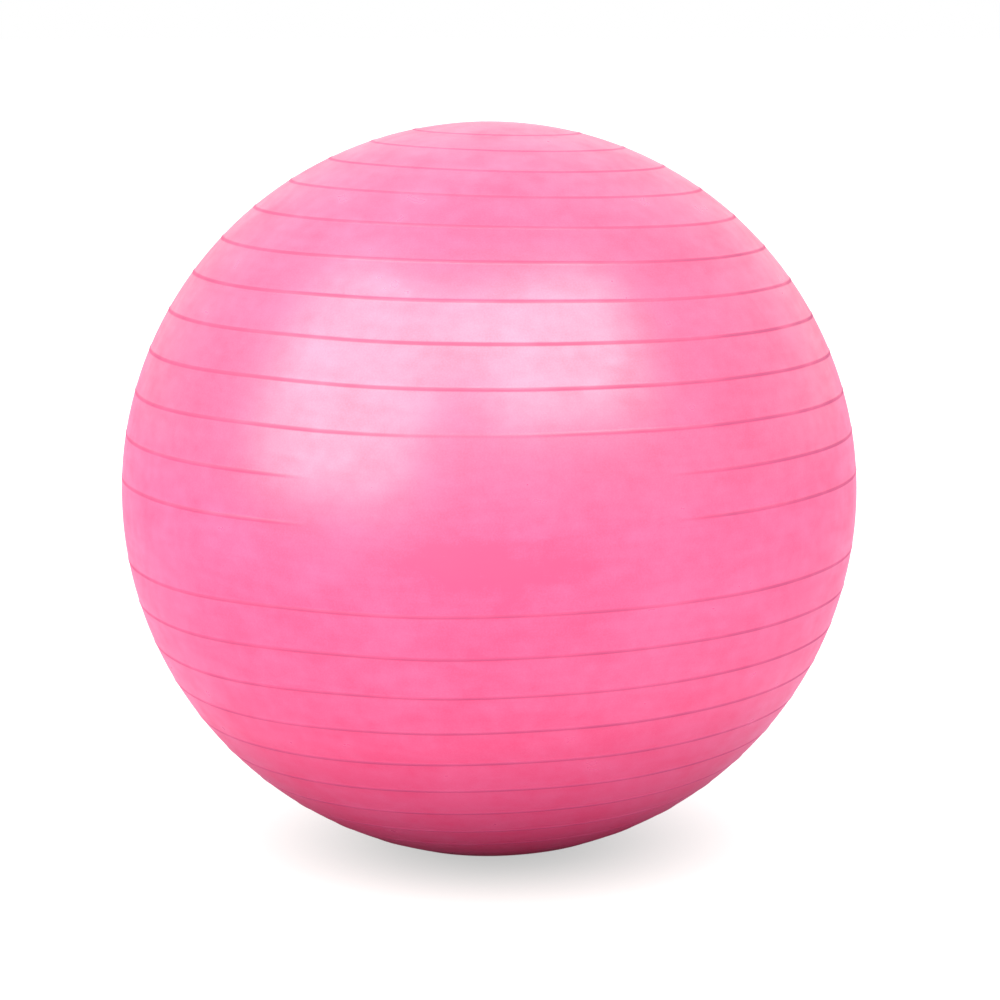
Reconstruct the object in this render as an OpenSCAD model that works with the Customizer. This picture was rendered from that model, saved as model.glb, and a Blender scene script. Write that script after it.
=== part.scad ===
// Inflatable exercise ball, standing on the floor.
// One-piece vinyl skin with moulded ribs round an upright axis, a valve seat fused
// into the smooth band round its middle, and the stopper that plugs the valve.
// The origin is the centre of the patch that rests on the floor, and +Z is the ribs' axis.
// The valve's axis is +Y.

/* [Ball] */
// Diameter of the inflated ball, over the skin between the ribs
ball_d = 650; // [450:10:850]
// Thickness of the inflated skin
skin_t = 0.8; // [0.6:0.1:2]
// How far the ball's own weight presses its bottom flat
sink = 1.5; // [0.5:0.1:3]

/* [Ribs] */
// Width of the smooth band round the middle, measured along the skin
band_w = 70; // [56:1:110]
// Distance from one rib to the next, measured along the skin
rib_pitch = 37; // [25:1:60]
// Plain cap kept clear of ribs round each pole, measured along the skin from the pole
cap_arc = 60; // [45:5:120]
// Height of a rib above the skin
rib_h = 0.6; // [0.3:0.1:1.2]
// Radius of a rib's rounded section
rib_r = 1.1; // [0.8:0.1:2]
// Depth of the shallow groove that each rib leaves on the skin's inner face
back_h = 0.3; // [0.1:0.05:0.4]
// Radius of that groove's rounded section
back_r = 0.8; // [0.5:0.1:1.5]

/* [Valve seat] */
// Diameter of the round disc that fills the hole in the skin
seat_d = 30; // [24:1:40]
// Width of the flange bonded to the inside of the skin, beyond the disc
flange_w = 6; // [3:0.5:8]
// Thickness of the flange under the skin
flange_t = 3; // [2.5:0.5:6]
// Outside diameter of the neck that reaches into the ball
neck_d = 17; // [14:0.5:20]
// Length of the neck, from the ball's surface inwards
neck_l = 25; // [22:1:40]
// Diameter of the bore that takes the plug's stem and the pump's nozzle
bore_d = 9.2; // [7:0.1:12]
// Depth and width of the bevel at the mouth of the bore
lead_in = 0.8; // [0.4:0.1:1]

/* [Valve plug] */
// Diameter of the plug's flat head
head_d = 18; // [16:0.5:22]
// Thickness of the plug's head
head_t = 2; // [1.2:0.1:2.6]
// Length of the stem under the head
stem_l = 19; // [16:0.5:20]
// How much thinner the stem is than its barbs, on the radius
barb_h = 1; // [0.6:0.1:1.4]
// Number of barbs on the stem
barb_n = 3; // [2:1:4]
// Diameter of the blind hole that lets the stem give
core_d = 4; // [2:0.2:4.4]
// Thickness left between the blind hole and the head's face
core_end = 3.5; // [2.5:0.5:6]

/* [Clearances] */
// Gap round the head in its recess
head_gap = 0.5; // [0.2:0.1:0.8]
// Gap under the head when the plug is home
home_gap = 0.1; // [0.05:0.05:0.2]
// Gap between the barbs and the bore, on the radius
barb_gap = 0.05; // [0.02:0.01:0.1]

/* [Hidden] */
// Pieces of the ball, each one a solid

// Facets of the large and of the small round shapes
fine_n = 256;
small_n = 72;
rib_n = 36;

ball_r = ball_d / 2;
inner_r = ball_r - skin_t;
centre_z = ball_r - sink;
quarter_arc = PI * ball_r / 2;

// Ribs on each half, from the smooth band to the plain cap
ribs_per_half = floor((quarter_arc - band_w / 2 - cap_arc) / rib_pitch) + 1;
// Degrees of latitude that an arc of the skin covers
function latitude(arc) = arc / ball_r * 180 / PI;
// Distances from the ball's centre to the round sections of a rib and of the groove behind it
rib_centre_r = ball_r + rib_h - rib_r;
back_centre_r = inner_r + back_h - back_r;

seat_r = seat_d / 2;
flange_r = seat_r + flange_w;
neck_r = neck_d / 2;
bore_r = bore_d / 2;
head_r = head_d / 2;
barb_r = bore_r - barb_gap;
stem_r = barb_r - barb_h;
core_r = core_d / 2;

// Places along the valve's axis, measured from the ball's centre
head_top = sqrt(ball_r * ball_r - head_r * head_r);
head_under = head_top - head_t;
recess_floor = head_under - home_gap;
stem_tip = head_under - stem_l;
neck_end = ball_r - neck_l;
// The barbs share the stem's inner three quarters
barb_zone = stem_l * 3 / 4;
barb_step = barb_zone / barb_n;
barb_land = barb_step / 5;
// A little more than any cut needs, so that no skin of zero thickness is left
over = 1;

SKIN_PINK = [0.99, 0.47, 0.65];
SEAT_PINK = [0.96, 0.55, 0.70];
PLUG_WHITE = [0.95, 0.95, 0.94];

// Everything on one side of the axis and above the given height, for turning
module right_of_axis(low) {
    translate([0, low])
        square([ball_d, 2 * ball_d]);
}

// A round section at each rib's latitude, above and below the smooth band
module at_each_rib(centre_r, r) {
    for (half = [-1, 1])
        for (k = [0 : ribs_per_half - 1])
            rotate(half * latitude(band_w / 2 + k * rib_pitch))
                translate([centre_r, 0])
                    circle(r, $fn = rib_n);
}

// Section of the skin: ribs outside, an even wall, and the flat the ball rests on
module skin_section() {
    difference() {
        intersection() {
            union() {
                circle(ball_r, $fn = fine_n);
                at_each_rib(rib_centre_r, rib_r);
            }
            right_of_axis(-centre_z);
        }
        intersection() {
            union() {
                circle(inner_r, $fn = fine_n);
                at_each_rib(back_centre_r, back_r);
            }
            translate([-ball_d, skin_t - centre_z])
                square(2 * ball_d);
        }
    }
}

// Turns a section about the valve's axis, with the ball's centre at its origin
module turned_on_valve_axis() {
    translate([0, 0, centre_z])
        rotate([-90, 0, 0])
            rotate_extrude($fn = small_n)
                children();
}

module ball_skin() {
    color(SKIN_PINK)
        difference() {
            translate([0, 0, centre_z])
                rotate_extrude($fn = fine_n)
                    skin_section();
            translate([0, 0, centre_z])
                rotate([-90, 0, 0])
                    cylinder(h = ball_d, r = seat_r, $fn = small_n);
        }
}

// Disc in the skin's hole, flange behind the skin and neck into the ball
module seat_body_section() {
    intersection() {
        circle(ball_r, $fn = fine_n);
        translate([0, inner_r - flange_t])
            square([seat_r, ball_r]);
    }
    difference() {
        intersection() {
            circle(inner_r, $fn = fine_n);
            translate([0, neck_end])
                square([flange_r, ball_r]);
        }
        circle(inner_r - flange_t, $fn = fine_n);
    }
    translate([0, neck_end])
        square([neck_r, recess_floor - neck_end]);
}

// Bore, the bevel at its mouth and the recess that the plug's head sits in
module seat_cut_section() {
    translate([0, neck_end - over])
        square([bore_r, ball_r]);
    translate([0, recess_floor])
        square([head_r + head_gap, ball_r]);
    polygon([
        [0, recess_floor - lead_in],
        [bore_r, recess_floor - lead_in],
        [bore_r + lead_in, recess_floor],
        [bore_r + lead_in, recess_floor + over],
        [0, recess_floor + over],
    ]);
}

module valve_seat() {
    color(SEAT_PINK)
        turned_on_valve_axis()
            difference() {
                seat_body_section();
                seat_cut_section();
            }
}

// One barb: a short land and a long slope towards the tip
module barb_section() {
    polygon([
        [0, 0],
        [stem_r, 0],
        [barb_r, barb_step - barb_land * 2],
        [barb_r, barb_step - barb_land],
        [stem_r, barb_step - barb_land],
        [stem_r, barb_step],
        [0, barb_step],
    ]);
}

// Head, stem and barbs of the plug
module plug_body_section() {
    translate([0, head_under])
        square([head_r, head_t]);
    translate([0, stem_tip])
        square([stem_r, stem_l + head_t / 2]);
    for (k = [0 : barb_n - 1])
        translate([0, stem_tip + k * barb_step])
            barb_section();
}

module valve_plug() {
    color(PLUG_WHITE)
        turned_on_valve_axis()
            difference() {
                plug_body_section();
                translate([0, stem_tip - over])
                    square([core_r, head_top - core_end - stem_tip + over]);
            }
}

ball_skin();
valve_seat();
valve_plug();
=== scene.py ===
"""Inflatable exercise ball: a ribbed pearly vinyl skin, its valve seat and its white plug.

Metres throughout. The ball stands on the floor at z = 0, its ribs run round the z axis,
and the valve points along +y.
"""
import math

import bmesh
import bpy
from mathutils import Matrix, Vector


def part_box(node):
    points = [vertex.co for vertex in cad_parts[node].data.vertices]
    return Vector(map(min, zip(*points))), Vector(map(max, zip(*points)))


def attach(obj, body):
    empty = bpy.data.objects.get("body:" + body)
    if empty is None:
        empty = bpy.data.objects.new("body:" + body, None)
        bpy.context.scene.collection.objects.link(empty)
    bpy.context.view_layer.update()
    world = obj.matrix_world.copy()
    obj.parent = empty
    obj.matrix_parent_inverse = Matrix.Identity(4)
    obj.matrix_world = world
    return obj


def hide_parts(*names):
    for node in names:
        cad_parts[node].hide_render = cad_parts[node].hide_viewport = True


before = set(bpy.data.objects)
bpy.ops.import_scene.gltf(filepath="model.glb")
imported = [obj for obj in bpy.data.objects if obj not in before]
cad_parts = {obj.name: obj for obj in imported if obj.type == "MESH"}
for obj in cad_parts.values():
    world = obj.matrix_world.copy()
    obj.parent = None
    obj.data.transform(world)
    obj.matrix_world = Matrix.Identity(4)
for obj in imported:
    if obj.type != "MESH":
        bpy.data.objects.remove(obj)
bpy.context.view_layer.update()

MM = 0.001

# The ball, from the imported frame
skin_low, skin_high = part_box("ball_skin")
BALL_R = (skin_high.x - skin_low.x) / 2
CENTRE_Z = skin_high.z - BALL_R
SKIN_T = 0.8 * MM

# Ribs, measured along the skin
BAND_W = 70 * MM
RIB_PITCH = 37 * MM
RIBS_PER_HALF = 12
RIB_H = 0.32 * MM
RIB_HALF_W = 2.2 * MM

# Valve
SEAT_R = 15 * MM
FLANGE_R = 21 * MM
FLANGE_T = 3 * MM
NECK_R = 8.5 * MM
NECK_END = BALL_R - 25 * MM
BORE_R = 4.6 * MM
RECESS_R = 9.5 * MM
HEAD_R = 9 * MM
HEAD_T = 2 * MM
HEAD_TOP = math.sqrt(BALL_R ** 2 - HEAD_R ** 2)
HEAD_UNDER = HEAD_TOP - HEAD_T
RECESS_FLOOR = HEAD_UNDER - 0.1 * MM
STEM_L = 19 * MM
STEM_R = 3.55 * MM
BARB_R = 4.55 * MM
BARBS = 3
CORE_R = 2 * MM
CORE_END = HEAD_TOP - 3.5 * MM


# ---------------------------------------------------------------- node trees as expressions

class Value:
    """A socket that carries a number, so that arithmetic on it adds Math nodes."""

    def __init__(self, graph, socket):
        self.graph = graph
        self.socket = socket

    def __add__(self, other):
        return self.graph.math("ADD", self, other)

    def __sub__(self, other):
        return self.graph.math("SUBTRACT", self, other)

    def __rsub__(self, other):
        return self.graph.math("SUBTRACT", other, self)

    def __mul__(self, other):
        return self.graph.math("MULTIPLY", self, other)

    def __truediv__(self, other):
        return self.graph.math("DIVIDE", self, other)

    def __pow__(self, other):
        return self.graph.math("POWER", self, other)

    def __abs__(self):
        return self.graph.math("ABSOLUTE", self)

    __radd__ = __add__
    __rmul__ = __mul__


class Graph:
    """A node tree, with one method for Math nodes and one for every other node."""

    def __init__(self, tree):
        self.tree = tree
        tree.nodes.clear()

    def put(self, socket, value):
        if isinstance(value, Value):
            self.tree.links.new(value.socket, socket)
        else:
            socket.default_value = value

    def math(self, operation, *terms):
        node = self.tree.nodes.new("ShaderNodeMath")
        node.operation = operation
        for socket, term in zip(node.inputs, terms):
            self.put(socket, term)
        return Value(self, node.outputs[0])

    def add(self, kind, settings=None, sockets=None, out=0):
        """Makes a node: its settings first, then its sockets' values or links."""
        node = self.tree.nodes.new(kind)
        for name, value in (settings or {}).items():
            setattr(node, name, value)
        for name, value in (sockets or {}).items():
            self.put(node.inputs[name], value)
        if out is None:
            return node
        return Value(self, node.outputs[out])

    def low(self, a, b):
        return self.math("MINIMUM", a, b)

    def high(self, a, b):
        return self.math("MAXIMUM", a, b)

    def xyz(self, x, y, z):
        return self.add("ShaderNodeCombineXYZ", sockets={"X": x, "Y": y, "Z": z})

    def split(self, vector):
        """The x, y and z of a vector."""
        node = self.add("ShaderNodeSeparateXYZ", sockets={"Vector": vector}, out=None)
        return [Value(self, node.outputs[axis]) for axis in "XYZ"]

    def noise(self, place, scale, detail=2.0, roughness=0.5):
        return self.add(
            "ShaderNodeTexNoise",
            settings={"noise_dimensions": "3D"},
            sockets={"Vector": place, "Scale": scale, "Detail": detail, "Roughness": roughness},
        )


# ---------------------------------------------------------------- the skin, by its rule

# Rows of the skin's grid: over a rib and its edges, between two ribs, in half the band and
# in a cap. The outermost row on each side of a rib lies just off it, to keep its edge crisp.
RIB_ROWS = 8
GAP_ROWS = 3
BAND_ROWS = 7
CAP_ROWS = 9
LINING_CAP_ROWS = 24
COLUMNS = 256
# How the blown-up skin strays from a true ball, as real ones do: how far its ribs hang, lean,
# tilt to one side and waver, and how uneven it is. All of it starts from nothing at the valve
# and builds up over the valve's calm.
SAG = math.radians(2.5)
SAG_LEAN = math.radians(0.6)
RIB_TILT = math.radians(0.8)
RIB_TWIST = math.radians(-2.4)
WAVER = math.radians(0.3)
WAVER_SCALE = 2.2
UNEVEN = 0.5 * MM
UNEVEN_SCALE = 1.6
VALVE_CALM = 230 * MM
# Smooth panel at the front of the band, where the ribs fade out: its middle's height and its
# half width and half height as angles, and the share of them over which a rib fades
PANEL_UP = math.radians(7.0)
PANEL_HALF_W = math.radians(34.0)
PANEL_HALF_H = math.radians(10.5)
PANEL_FADE = 0.35


def skin_tree():
    """Ribbed ball: a grid whose rows crowd over the ribs, wrapped round a sphere."""
    tree = bpy.data.node_groups.new("ribbed_ball", "GeometryNodeTree")
    inputs = {
        "Radius": "NodeSocketFloat",
        "Centre Height": "NodeSocketFloat",
        "Floor": "NodeSocketFloat",
        "Band Width": "NodeSocketFloat",
        "Rib Pitch": "NodeSocketFloat",
        "Rib Height": "NodeSocketFloat",
        "Rib Half Width": "NodeSocketFloat",
        "Ribs Per Half": "NodeSocketInt",
        "Gap Rows": "NodeSocketInt",
        "Cap Rows": "NodeSocketInt",
        "Unevenness": "NodeSocketFloat",
        "Vinyl": "NodeSocketMaterial",
    }
    for name, kind in inputs.items():
        tree.interface.new_socket(name, in_out="INPUT", socket_type=kind)
    tree.interface.new_socket("Skin", in_out="OUTPUT", socket_type="NodeSocketGeometry")

    g = Graph(tree)
    given = g.add("NodeGroupInput", out=None)
    size = {name: Value(g, given.outputs[name]) for name in inputs}
    radius = size["Radius"]
    width = size["Rib Half Width"] * (RIB_ROWS / (RIB_ROWS - 2))
    pitch = size["Rib Pitch"]
    ribs = size["Ribs Per Half"]
    gap_rows = size["Gap Rows"]
    period = gap_rows + RIB_ROWS
    last_row = (ribs - 1) * period + RIB_ROWS
    half_rows = last_row + BAND_ROWS + size["Cap Rows"]

    grid = g.add(
        "GeometryNodeMeshGrid",
        sockets={
            "Size X": math.tau,
            "Size Y": half_rows * 2,
            "Vertices X": COLUMNS + 1,
            "Vertices Y": half_rows * 2 + 1,
        },
        out=None,
    )
    turn, row, _ = g.split(g.add("GeometryNodeInputPosition"))

    # Arc from the equator to this row, by where the row falls in its rib's pitch
    count = g.math("ROUND", abs(row))
    step = g.low(g.high(count - BAND_ROWS, 0), last_row)
    rib = g.math("FLOOR", step / period)
    within = step - rib * period
    over_rib = g.low(within, RIB_ROWS)
    band_edge = size["Band Width"] / 2 - width
    offset = over_rib / RIB_ROWS * width * 2
    offset = offset + g.high(within - RIB_ROWS, 0) / gap_rows * (pitch - width * 2)
    arc = g.low(count / BAND_ROWS, 1) * band_edge + rib * pitch + offset
    quarter = radius * (math.pi / 2)
    cap_start = band_edge + (ribs - 1) * pitch + width * 2
    cap_share = g.high(count - BAND_ROWS - last_row, 0) / size["Cap Rows"]
    arc = arc + cap_share * (quarter - cap_start)

    # A rib's rounded section
    off_crest = abs(over_rib - RIB_ROWS / 2) / (RIB_ROWS / 2 - 1)
    ridge = (g.math("COSINE", g.low(off_crest, 1) * math.pi) + 1) / 2

    # The ribs hang a little low and lean, but keep true at the poles and round the valve
    latitude = g.math("SIGN", row) * arc / radius
    rise = g.math("SINE", latitude)
    spread = g.math("COSINE", latitude)
    true_spot = g.xyz(spread * g.math("COSINE", turn), spread * g.math("SINE", turn), rise)
    from_valve = g.add(
        "ShaderNodeVectorMath",
        settings={"operation": "DISTANCE"},
        sockets={0: true_spot, 1: (0, 1, 0)},
        out="Value",
    )
    away = g.low(from_valve * radius / VALVE_CALM, 1)
    away = away * away * (3 - away * 2)
    off_poles = g.low(spread * 4, 1)
    calm = off_poles * away
    lean = (RIB_TILT + rise * RIB_TWIST) * g.math("COSINE", turn)
    waver = g.noise(true_spot, WAVER_SCALE, 0.0)
    lean = lean + (waver - 0.5) * 2 * WAVER
    latitude = latitude + (lean - spread * SAG - rise * SAG_LEAN) * calm

    # Ribs fade out over the front's smooth panel
    aside = (turn + math.pi / 2) / PANEL_HALF_W
    above = (latitude - PANEL_UP) / PANEL_HALF_H
    from_panel = (aside * aside + above * above) ** 0.5
    shown = g.low(g.high((from_panel - 1) / PANEL_FADE + 0.5, 0), 1)
    ridge = ridge * shown
    rise = g.math("SINE", latitude)
    spread = g.math("COSINE", latitude)
    across = spread * g.math("COSINE", turn)
    along = spread * g.math("SINE", turn)
    swell = g.noise(g.xyz(across, along, rise), UNEVEN_SCALE, 2.0, 0.6)
    out = radius + size["Rib Height"] * ridge + (swell - 0.5) * 2 * size["Unevenness"] * away
    height = g.high(rise * out + size["Centre Height"], size["Floor"])
    shaped = g.xyz(across * out, along * out, height)
    marked = g.add(
        "GeometryNodeStoreNamedAttribute",
        settings={"data_type": "FLOAT", "domain": "POINT"},
        sockets={"Geometry": Value(g, grid.outputs["Mesh"]), "Name": "rib", "Value": ridge},
    )
    bent = g.add("GeometryNodeSetPosition", sockets={"Geometry": marked, "Position": shaped})
    closed = g.add("GeometryNodeMergeByDistance", sockets={"Geometry": bent, "Distance": 1e-6})
    smooth = g.add(
        "GeometryNodeSetShadeSmooth",
        sockets={"Geometry": closed, "Shade Smooth": True},
    )
    real = g.add("GeometryNodeRealizeInstances", sockets={"Geometry": smooth})
    coated = g.add(
        "GeometryNodeSetMaterial",
        sockets={"Geometry": real, "Material": size["Vinyl"]},
    )
    g.add("NodeGroupOutput", sockets={"Skin": coated}, out=None)
    return tree


def made_by(tree, name, values):
    """The plain mesh that a tree makes from the given input values."""
    host = bpy.data.objects.new(name, bpy.data.meshes.new(name))
    bpy.context.collection.objects.link(host)
    modifier = host.modifiers.new("rule", "NODES")
    modifier.node_group = tree
    for item in tree.interface.items_tree:
        if item.in_out == "INPUT" and item.name in values:
            modifier[item.identifier] = values[item.name]
    seen = host.evaluated_get(bpy.context.evaluated_depsgraph_get())
    mesh = bpy.data.meshes.new_from_object(seen)
    bpy.data.objects.remove(host)
    return mesh


# ---------------------------------------------------------------- the skin's valve hole

WINDOW_UP = 26 * MM
WINDOW_COLUMNS = 3
# Slack by which the verts on the window's sides count as inside it
WINDOW_SLACK = 1.1
# Rings from the grid's window down to the hole: radius and depth, in mm
HOLE_RINGS = ((18.5, 0), (16.6, 0), (15.6, 0), (15.3, 0.03), (15.1, 0.12), (15.0, 0.35))
INNER_RINGS = ((18.5, 0), (15.0, 0))


def loop_of(edges):
    """The verts of the closed chain that the first edge is in, in order."""
    left = set(edges)
    edge = edges[0]
    first = edge.verts[0]
    loop = [first]
    vert = edge.other_vert(first)
    while vert is not first:
        left.discard(edge)
        loop.append(vert)
        edge = next(e for e in vert.link_edges if e in left)
        vert = edge.other_vert(vert)
    return loop


def round_hole(bm, surface_r, rings):
    """Opens a window in the grid at the valve and narrows it to a round hole."""
    side = WINDOW_COLUMNS * math.tau / COLUMNS * WINDOW_SLACK
    up = WINDOW_UP / BALL_R

    def in_window(vert):
        spot = vert.co - Vector((0, 0, CENTRE_Z))
        across = abs(math.atan2(spot.x, spot.y))
        above = abs(math.atan2(spot.z, math.hypot(spot.x, spot.y)))
        return spot.y > 0 and across < side and above < up

    gone = [face for face in bm.faces if all(in_window(v) for v in face.verts)]
    bmesh.ops.delete(bm, geom=gone, context="FACES")
    loop = loop_of([edge for edge in bm.edges if edge.is_boundary])
    turns = [math.atan2(v.co.z - CENTRE_Z, v.co.x) for v in loop]
    between = []
    for here, there in zip(turns, turns[1:] + turns[:1]):
        gap = (there - here + math.pi) % math.tau - math.pi
        between += [here, here + gap / 2]
    ring = None
    for r_mm, depth_mm in rings:
        r = r_mm * MM
        out = math.sqrt(surface_r ** 2 - r ** 2) - depth_mm * MM
        new = [
            bm.verts.new((r * math.cos(t), out, CENTRE_Z + r * math.sin(t)))
            for t in between
        ]
        if ring is None:
            for i, corner in enumerate(loop):
                nearest = new[2 * i]
                middle = new[2 * i + 1]
                following = loop[(i + 1) % len(loop)]
                bm.faces.new((corner, nearest, middle))
                bm.faces.new((corner, middle, following))
                bm.faces.new((following, middle, new[(2 * i + 2) % len(new)]))
        else:
            stitch(bm, ring, new)
        ring = new


def stitch(bm, ring, other):
    """Faces between two rings of as many verts."""
    for i in range(len(ring)):
        j = (i + 1) % len(ring)
        bm.faces.new((ring[i], ring[j], other[j], other[i]))


def skin_mesh(vinyl):
    """Closed shell of the skin: ribbed outside, plain inside, joined round the valve's hole."""
    tree = skin_tree()
    outside = {
        "Radius": BALL_R,
        "Centre Height": CENTRE_Z,
        "Floor": 0.0,
        "Band Width": BAND_W,
        "Rib Pitch": RIB_PITCH,
        "Rib Height": RIB_H,
        "Rib Half Width": RIB_HALF_W,
        "Ribs Per Half": RIBS_PER_HALF,
        "Gap Rows": GAP_ROWS,
        "Cap Rows": CAP_ROWS,
        "Unevenness": UNEVEN,
        "Vinyl": vinyl,
    }
    inside = outside | {
        "Radius": BALL_R - SKIN_T,
        "Floor": SKIN_T,
        "Rib Height": 0.0,
        "Ribs Per Half": 1,
        "Cap Rows": LINING_CAP_ROWS,
    }
    shell = made_by(tree, "ball_skin_shell", outside)
    lining = made_by(tree, "ball_skin_lining", inside)

    bm = bmesh.new()
    bm.from_mesh(shell)
    round_hole(bm, BALL_R, HOLE_RINGS)
    inner = bmesh.new()
    inner.from_mesh(lining)
    round_hole(inner, BALL_R - SKIN_T, INNER_RINGS)
    inner.to_mesh(lining)
    inner.free()
    bm.from_mesh(lining)
    edges = [edge for edge in bm.edges if edge.is_boundary]
    rim = loop_of(edges)
    other_rim = loop_of([edge for edge in edges if edge.verts[0] not in set(rim)])
    matched = [min(other_rim, key=lambda v, o=o: (v.co - o.co).length) for o in rim]
    stitch(bm, rim, matched)
    bmesh.ops.recalc_face_normals(bm, faces=bm.faces)
    mesh = bpy.data.meshes.new("ball_skin")
    bm.to_mesh(mesh)
    bm.free()
    mesh.materials.clear()
    mesh.materials.append(vinyl)
    mesh.shade_smooth()
    return mesh


# ---------------------------------------------------------------- turned pieces

ARC_STEPS = 4
TURN_STEPS = 96
SHARP_ANGLE = math.radians(50)
# Most of a side that the arc of one of its corners may take
CORNER_SHARE = 0.48


def placed(name, mesh):
    piece = bpy.data.objects.new(name, mesh)
    bpy.context.collection.objects.link(piece)
    return piece


def softened(outline):
    """Points of an outline whose corners, given as (r, along, rounding), are arcs."""
    points = []
    for i, (r, along, rounding) in enumerate(outline):
        here = Vector((r, along))
        if not rounding:
            points.append(here)
            continue
        back = Vector(outline[i - 1][:2]) - here
        ahead = Vector(outline[(i + 1) % len(outline)][:2]) - here
        reach = min(rounding, back.length * CORNER_SHARE, ahead.length * CORNER_SHARE)
        start = here + back.normalized() * reach
        end = here + ahead.normalized() * reach
        for k in range(ARC_STEPS + 1):
            t = k / ARC_STEPS
            points.append(start * (1 - t) ** 2 + here * 2 * t * (1 - t) + end * t ** 2)
    return points


def turned(name, outline, material, closed):
    """A piece turned about the valve's axis, from its outline."""
    bm = bmesh.new()
    rings = []
    for r, along in softened(outline):
        if r < 1e-6:
            rings.append([bm.verts.new((0, along, CENTRE_Z))])
            continue
        ring = []
        for k in range(TURN_STEPS):
            t = math.tau * k / TURN_STEPS
            ring.append(bm.verts.new((r * math.cos(t), along, CENTRE_Z + r * math.sin(t))))
        rings.append(ring)
    pairs = list(zip(rings, rings[1:]))
    if closed:
        pairs.append((rings[-1], rings[0]))
    for ring, other in pairs:
        for k in range(TURN_STEPS):
            j = (k + 1) % TURN_STEPS
            corners = [ring[k % len(ring)], ring[j % len(ring)]]
            corners += [other[j % len(other)], other[k % len(other)]]
            distinct = list(dict.fromkeys(corners))
            if len(distinct) > 2:
                bm.faces.new(distinct)
    bmesh.ops.recalc_face_normals(bm, faces=bm.faces)
    mesh = bpy.data.meshes.new(name)
    bm.to_mesh(mesh)
    bm.free()
    mesh.materials.append(material)
    mesh.shade_smooth()
    mesh.set_sharp_from_angle(angle=SHARP_ANGLE)
    return placed(name, mesh)


def on_ball(r):
    """Height along the valve's axis of the ball's surface at a distance from that axis."""
    return math.sqrt(BALL_R ** 2 - r ** 2)


def seat_piece(material):
    """Disc flush with the skin, a bead round the recess, the flange and the bored neck."""
    inner_face = BALL_R - SKIN_T
    bead_r = RECESS_R + 1.1 * MM
    outline = [
        (RECESS_R, RECESS_FLOOR, 0.3 * MM),
        (RECESS_R, on_ball(RECESS_R) + 0.35 * MM, 0.35 * MM),
        (bead_r, on_ball(bead_r) + 0.35 * MM, 0.35 * MM),
        (bead_r + 0.5 * MM, on_ball(bead_r + 0.5 * MM), 0.4 * MM),
        (SEAT_R - 0.4 * MM, on_ball(SEAT_R - 0.4 * MM), 0),
        (SEAT_R - 0.12 * MM, on_ball(SEAT_R) - 0.05 * MM, 0),
        (SEAT_R, on_ball(SEAT_R) - 0.35 * MM, 0),
        (SEAT_R, inner_face - 0.35 * MM, 0),
        (FLANGE_R, inner_face - 0.7 * MM, 0.3 * MM),
        (FLANGE_R, inner_face - FLANGE_T + 0.8 * MM, 0.5 * MM),
        (FLANGE_R - 3 * MM, inner_face - FLANGE_T, 0.8 * MM),
        (NECK_R, inner_face - FLANGE_T, 1.6 * MM),
        (NECK_R, NECK_END, 0.8 * MM),
        (BORE_R, NECK_END, 0.5 * MM),
        (BORE_R, RECESS_FLOOR - 0.8 * MM, 0.2 * MM),
        (BORE_R + 0.8 * MM, RECESS_FLOOR, 0.2 * MM),
    ]
    return turned("valve_seat_bush", outline, material, closed=True)


def plug_piece(material):
    """Dished head, hollow stem and barbs, as one turned piece."""
    tip = HEAD_UNDER - STEM_L
    step = STEM_L * 0.75 / BARBS
    land = step / 5
    outline = [
        (0, HEAD_TOP - 0.45 * MM, 0),
        (1.1 * MM, HEAD_TOP - 0.45 * MM, 0.1 * MM),
        (1.3 * MM, HEAD_TOP - 0.6 * MM, 0.1 * MM),
        (6.2 * MM, HEAD_TOP - 0.6 * MM, 0.5 * MM),
        (7.2 * MM, HEAD_TOP, 0.5 * MM),
        (HEAD_R, HEAD_TOP, 0.5 * MM),
        (HEAD_R, HEAD_UNDER, 0.3 * MM),
        (STEM_R, HEAD_UNDER, 0.4 * MM),
    ]
    for k in reversed(range(BARBS)):
        foot = tip + k * step
        outline += [
            (STEM_R, foot + step - land, 0.1 * MM),
            (BARB_R, foot + step - land, 0.12 * MM),
            (BARB_R, foot + step - 2 * land, 0.15 * MM),
            (STEM_R, foot + 0.02 * MM, 0.1 * MM),
        ]
    outline += [
        (STEM_R - 0.2 * MM, tip, 0.15 * MM),
        (CORE_R, tip, 0.2 * MM),
        (CORE_R, CORE_END, 0.5 * MM),
        (0, CORE_END, 0),
    ]
    return turned("valve_plug_stopper", outline, material, closed=False)


# ---------------------------------------------------------------- finishes

SKIN_PALE = (0.98, 0.107, 0.287)
SKIN_DEEP = (0.95, 0.040, 0.189)
# Rib colour: a duller pink that is partly painted shade of the ribs' flanks
RIB_TONE_AND_SHADE = (0.52, 0.052, 0.178)
SEAT_PINK = (0.86, 0.13, 0.30)
SEAT_DEEP = (0.78, 0.09, 0.24)
PLUG_WHITE = (0.86, 0.855, 0.84)
PLUG_SHADE = (0.78, 0.775, 0.76)


def finish_of(name):
    """A new material and its empty graph."""
    material = bpy.data.materials.new(name)
    material.use_nodes = True
    return material, Graph(material.node_tree)


def blended(g, share, first, second):
    """Colour between two colours, by share. Sockets 6 and 7 are the mix's two colours."""
    return g.add(
        "ShaderNodeMix",
        settings={"data_type": "RGBA", "clamp_factor": True},
        sockets={0: share, 6: first, 7: second},
        out=2,
    )


def rgba(colour):
    return (*colour, 1.0)


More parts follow.
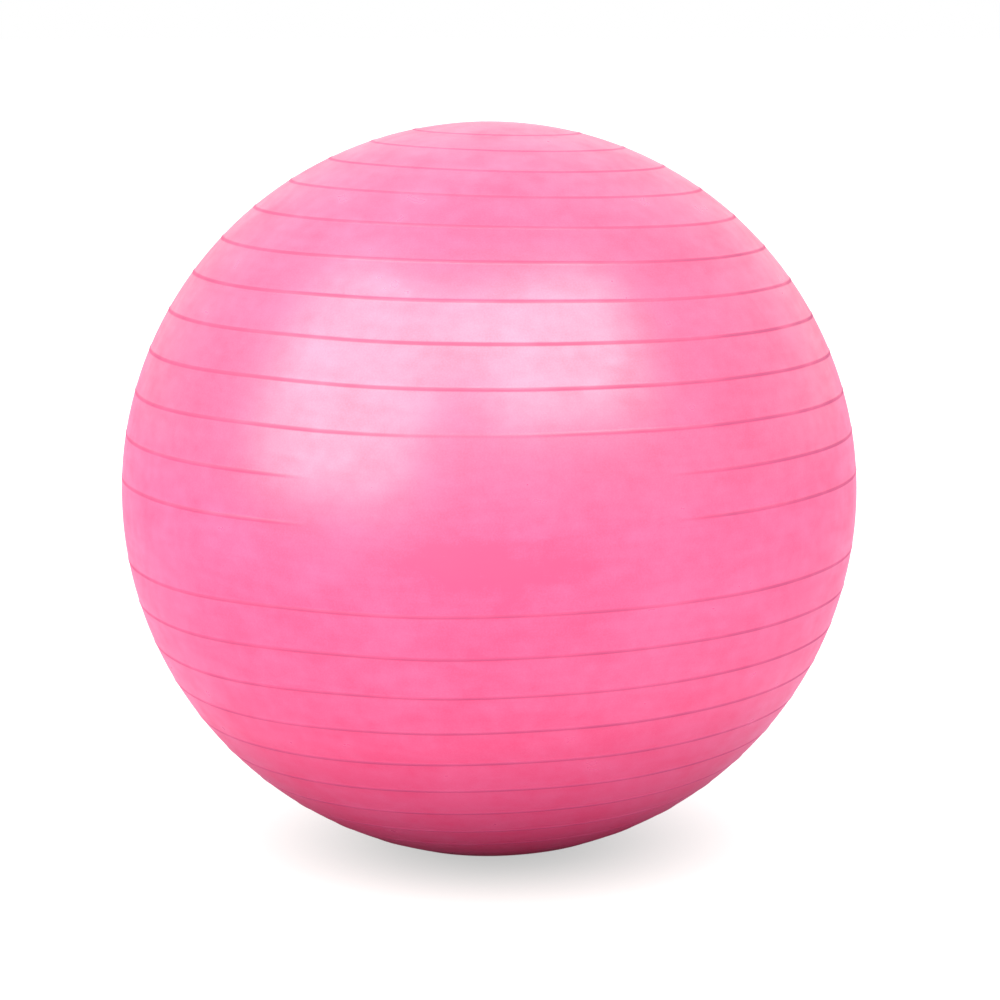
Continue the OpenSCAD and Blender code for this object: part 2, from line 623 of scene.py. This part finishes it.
def shade(g, colour, roughness, bump, constants, dull=None):
    """Principled shader with a bumped surface, and the sockets that don't vary.

    The bump is its height, strength and distance. A share given as dull turns it matt.
    """
    height, strength, distance = bump
    normal = g.add(
        "ShaderNodeBump",
        sockets={"Strength": strength, "Distance": distance, "Height": height},
    )
    sockets = {"Base Color": colour, "Roughness": roughness, "Normal": normal}
    sockets.update(constants)
    shader = g.add("ShaderNodeBsdfPrincipled", sockets=sockets)
    if dull is not None:
        matt = g.add("ShaderNodeBsdfDiffuse", sockets={"Color": colour, "Normal": normal})
        shader = g.add("ShaderNodeMixShader", sockets={0: dull, 1: shader, 2: matt})
    g.add("ShaderNodeOutputMaterial", sockets={"Surface": shader}, out=None)


# A painted dark reflection: a deeper patch low in the smooth front panel
REFLECTION_HALF_W = 80 * MM
REFLECTION_HALF_H = 17 * MM
REFLECTION_HEIGHT = CENTRE_Z - 7 * MM
REFLECTION_DEPTH = 0.85
# Height, just above the ball's top, towards which the ribs' darker tone and painted shade fade,
# and how matt they are
RIBS_FADE_AT = 741 * MM
RIB_DULL = 0.4


def pearl_vinyl():
    """The skin: pearly pink vinyl with a satin gloss and a fine leathery grain."""
    material, g = finish_of("pearl_vinyl")
    place = g.add("ShaderNodeTexCoord", out="Object")
    rib = g.add("ShaderNodeAttribute", settings={"attribute_name": "rib"}, out="Fac")
    clouds = g.noise(place, 6.0, 3.0)
    drift = g.noise(place, 20.0, 2.0)
    mottle = g.noise(place, 75.0, 2.0)
    grain = g.noise(place, 700.0, 1.0)
    peel = g.noise(place, 380.0, 2.0)
    flow = g.add("ShaderNodeMapping", sockets={"Vector": place, "Scale": (1.0, 1.0, 5.0)})
    streaks = g.noise(flow, 22.0, 3.0)
    x, y, height = g.split(place)
    # Painted dark reflection: deeper and rougher, on the front only, low in the panel
    aside = x / REFLECTION_HALF_W
    below = (height - REFLECTION_HEIGHT) / REFLECTION_HALF_H
    from_reflection = aside * aside + below * below
    front = g.high(g.math("SIGN", y * -1), 0)
    painted_reflection = front * (streaks * 1.4 + 0.3) * g.math("EXPONENT", from_reflection * -1)

    # Clouds, streaks and grain of a deeper pink, and the painted dark reflection
    depth = (clouds - 0.5) * 1.0 + (drift - 0.5) * 1.1 + (mottle - 0.5) * 0.9
    depth = depth + (streaks - 0.5) * 0.9 + (grain - 0.5) * 0.9 + painted_reflection * REFLECTION_DEPTH + 0.45
    body = blended(g, depth, rgba(SKIN_PALE), rgba(SKIN_DEEP))

    # Ribs darker: partly a duller tone of the vinyl and partly painted shade of their flanks,
    # stronger in some places and faint towards the poles
    strength = g.low((RIBS_FADE_AT - height) * 5, 1) * g.low(height + 0.5, 1)
    rib_tone_and_shade = g.low(rib * 2, 1) * g.low(drift * 1.3 + 0.2, 1) * strength
    colour = blended(g, rib_tone_and_shade, body, rgba(RIB_TONE_AND_SHADE))

    roughness = (drift - 0.5) * 0.16 + (streaks - 0.5) * 0.12 + (mottle - 0.5) * 0.12
    roughness = roughness + painted_reflection * 0.12 + rib * 0.25 + 0.33
    shade(
        g,
        colour,
        roughness,
        bump=(peel, 0.10, 0.15 * MM),
        constants={"IOR": 1.73, "Specular IOR Level": 1.0},
        dull=rib_tone_and_shade * RIB_DULL,
    )
    return material


def bush_vinyl():
    """The valve's seat: thicker, plainer vinyl with a soft moulded face."""
    material, g = finish_of("bush_vinyl")
    place = g.add("ShaderNodeTexCoord", out="Object")
    clouds = g.noise(place, 120.0, 3.0)
    grain = g.noise(place, 2600.0, 1.0)
    depth = (clouds - 0.5) * 1.5 + (grain - 0.5) * 0.5 + 0.5
    colour = blended(g, depth, rgba(SEAT_PINK), rgba(SEAT_DEEP))
    roughness = (clouds - 0.5) * 0.2 + 0.46
    shade(
        g,
        colour,
        roughness,
        bump=(grain, 0.1, 0.1 * MM),
        constants={"Specular IOR Level": 0.5, "Coat Weight": 0.12, "Coat Roughness": 0.3},
    )
    return material


def plug_plastic():
    """The plug: frosted white polyethylene with faint flow marks from its gate."""
    material, g = finish_of("plug_plastic")
    place = g.add("ShaderNodeTexCoord", out="Object")
    clouds = g.noise(place, 260.0, 3.0)
    grain = g.noise(place, 3500.0, 1.0)
    depth = (clouds - 0.5) * 1.8 + 0.35
    colour = blended(g, depth, rgba(PLUG_WHITE), rgba(PLUG_SHADE))
    roughness = (clouds - 0.5) * 0.25 + (grain - 0.5) * 0.1 + 0.44
    shade(
        g,
        colour,
        roughness,
        bump=(grain * 0.5 + clouds * 0.5, 0.15, 0.08 * MM),
        constants={"Specular IOR Level": 0.5},
    )
    return material


# ---------------------------------------------------------------- studio

# The camera: degrees it looks down, its distance, lens and the shift of its frame
CAMERA_TILT = 9.43
CAMERA_FAR = 2.6
LENS_MM = 105.0
FRAME_SHIFT = (0.0110, -0.0115)
SOFTBOX_FAR = 6.0
SOFTBOX_WHITE = (1.0, 0.985, 0.885)
# Name, azimuth, elevation, the angles spanned across and up, all in degrees, and radiance
SOFTBOXES = (
    ("left_softbox", -50, 35.5, 53, 62, 2.35),
    ("right_softbox", 28, 49.6, 47, 44, 2.65),
)
# The room's light all round, and how much it gains behind and high up behind
SKY = 0.8
SKY_BEHIND = 0.15
SKY_HIGH_BEHIND = 0.45
FLOOR_HALF = 60.0
CENTRE = Vector((0, 0, CENTRE_Z))


def direction(azimuth, elevation):
    """Unit vector from the ball; azimuth 0 is towards the camera, positive to the right."""
    a = math.radians(azimuth)
    e = math.radians(elevation)
    return Vector((math.sin(a) * math.cos(e), -math.cos(a) * math.cos(e), math.sin(e)))


def aimed(thing, place, target):
    thing.location = place
    thing.rotation_euler = (target - place).to_track_quat("-Z", "Y").to_euler()


def camera():
    lens = bpy.data.cameras.new("camera")
    lens.lens = LENS_MM
    lens.shift_x = FRAME_SHIFT[0]
    lens.shift_y = FRAME_SHIFT[1]
    lens.clip_end = 500
    thing = bpy.data.objects.new("camera", lens)
    bpy.context.collection.objects.link(thing)
    aimed(thing, CENTRE + direction(0, CAMERA_TILT) * CAMERA_FAR, CENTRE)
    bpy.context.scene.camera = thing


def softbox(name, azimuth, elevation, across, up, radiance):
    """A soft light, its width and height given as the angles it spans from the ball."""
    lamp = bpy.data.lights.new(name, "AREA")
    lamp.shape = "RECTANGLE"
    lamp.color = SOFTBOX_WHITE
    lamp.size = 2 * SOFTBOX_FAR * math.tan(math.radians(across) / 2)
    lamp.size_y = 2 * SOFTBOX_FAR * math.tan(math.radians(up) / 2)
    lamp.energy = radiance * math.pi * lamp.size * lamp.size_y
    thing = bpy.data.objects.new(name, lamp)
    bpy.context.collection.objects.link(thing)
    aimed(thing, CENTRE + direction(azimuth, elevation) * SOFTBOX_FAR, CENTRE)


def floor_sheet(name, height, paint, reach, glow, tint):
    """A large plain matt floor at a height. Its glow changes over the reach from the ball,
    lower near the ball: a painted shadow round the ball.
    """
    bm = bmesh.new()
    corners = [(-1, -1), (1, -1), (1, 1), (-1, 1)]
    verts = [bm.verts.new((x * FLOOR_HALF, y * FLOOR_HALF, height)) for x, y in corners]
    bm.faces.new(verts)
    mesh = bpy.data.meshes.new(name)
    bm.to_mesh(mesh)
    bm.free()
    material, g = finish_of(name)
    place = g.add("ShaderNodeTexCoord", out="Object")
    far = g.add(
        "ShaderNodeVectorMath",
        settings={"operation": "LENGTH"},
        sockets={0: place},
        out="Value",
    )
    # Painted shadow: the glow rises from its near value to its far value over the reach from
    # the ball
    share = g.low(g.high((far - reach[0]) / (reach[1] - reach[0]), 0), 1)
    matt = g.add("ShaderNodeBsdfDiffuse", sockets={"Color": rgba((paint, paint, paint))})
    light = g.add(
        "ShaderNodeEmission",
        sockets={"Color": rgba(tint), "Strength": share * (glow[1] - glow[0]) + glow[0]},
    )
    both = g.add("ShaderNodeAddShader", sockets={0: matt, 1: light})
    g.add("ShaderNodeOutputMaterial", sockets={"Surface": both}, out=None)
    mesh.materials.append(material)
    sheet = placed(name, mesh)
    return sheet


def floor():
    """The white floor that is seen, and the greyer one that lights the ball from below. Both
    glow less near the ball: painted shadow on the seen floor, painted shade under the ball on
    the other.
    """
    # Seen floor: its glow rises from 0.5 near the ball to 1.0 away from it, a painted shadow
    # round the ball's foot
    seen = floor_sheet(
        "studio_floor",
        height=0.0,
        paint=0.36,
        reach=(0.04, 0.40),
        glow=(0.50, 1.0),
        tint=(0.98, 1.0, 0.99),
    )
    seen.visible_diffuse = False
    seen.visible_glossy = False
    seen.visible_shadow = False
    # Bounce floor: it glows only away from the ball, a painted shade that darkens the ball's
    # bottom
    bounce = floor_sheet(
        "studio_bounce",
        height=-0.1 * MM,
        paint=0.10,
        reach=(0.15, 0.46),
        glow=(0.0, 0.90),
        tint=(1.0, 0.66, 0.92),
    )
    bounce.visible_camera = False
    bounce.visible_shadow = False


def studio():
    scene = bpy.context.scene
    scene.view_settings.view_transform = "Standard"
    world = bpy.data.worlds.new("studio")
    scene.world = world
    world.use_nodes = True
    g = Graph(world.node_tree)
    towards = g.add("ShaderNodeTexCoord", out="Generated")
    _, back, up = g.split(towards)
    behind = g.high(back + 0.3, 0)
    high_behind = g.high(back, 0) * g.high(up, 0)
    glow = behind * SKY_BEHIND + high_behind * SKY_HIGH_BEHIND + SKY
    seen = g.add("ShaderNodeLightPath", out="Is Camera Ray")
    sky = g.add(
        "ShaderNodeBackground",
        sockets={"Color": (1, 1, 1, 1), "Strength": g.high(glow, seen)},
    )
    g.add("ShaderNodeOutputWorld", sockets={"Surface": sky}, out=None)
    for box in SOFTBOXES:
        softbox(*box)


# ---------------------------------------------------------------- the object

camera()
studio()
floor()

skin = placed("ribbed_skin", skin_mesh(pearl_vinyl()))
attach(skin, "ball")
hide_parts("ball_skin")

seat = seat_piece(bush_vinyl())
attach(seat, "ball")
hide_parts("valve_seat")

plug = plug_piece(plug_plastic())
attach(plug, "plug")
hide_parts("valve_plug")
